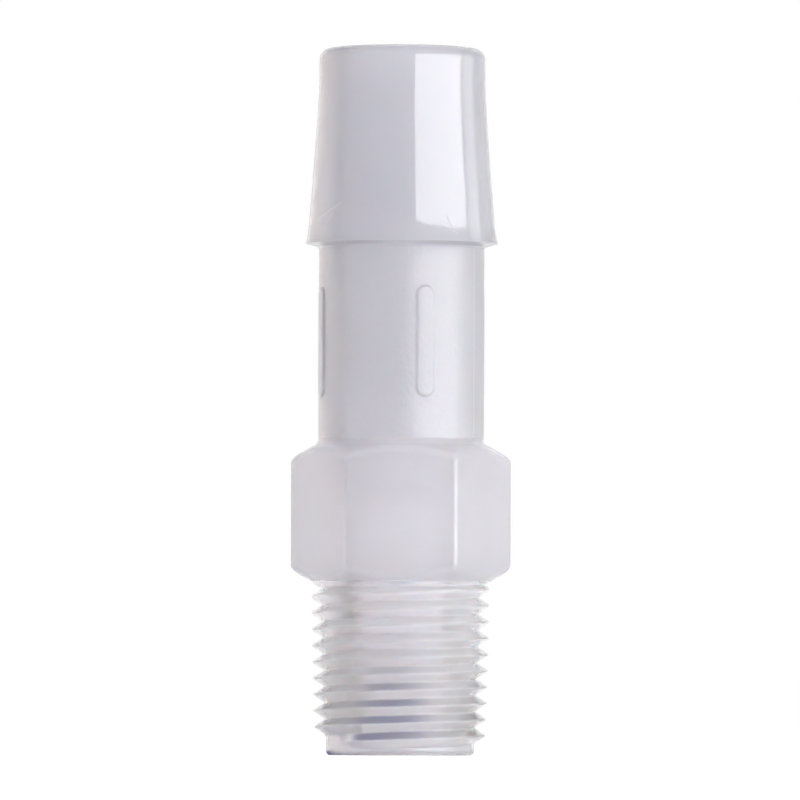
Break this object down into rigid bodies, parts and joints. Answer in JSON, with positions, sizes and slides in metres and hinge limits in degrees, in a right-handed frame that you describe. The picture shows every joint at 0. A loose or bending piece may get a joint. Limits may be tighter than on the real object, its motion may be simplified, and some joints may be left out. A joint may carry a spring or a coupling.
{
  "type": "hose barb adapter",
  "caption": "Moulded plastic tube connector: tapered male pipe thread, hexagon, ribbed neck and hose barb",
  "frame": {"origin": "middle of the tip's end face, on which the connector stands", "axes": "+Z along the flow axis from the pipe thread to the hose barb; +X through a corner of the hexagon; -Y is the side that the picture shows"},
  "size_m": [0.0128, 0.0112, 0.041],
  "materials": {
    "polypropylene": "semi-gloss natural polypropylene, milky and translucent"
  },
  "bodies": {
    "root": {"connector_body": "polypropylene"}
  },
  "joints": []
}
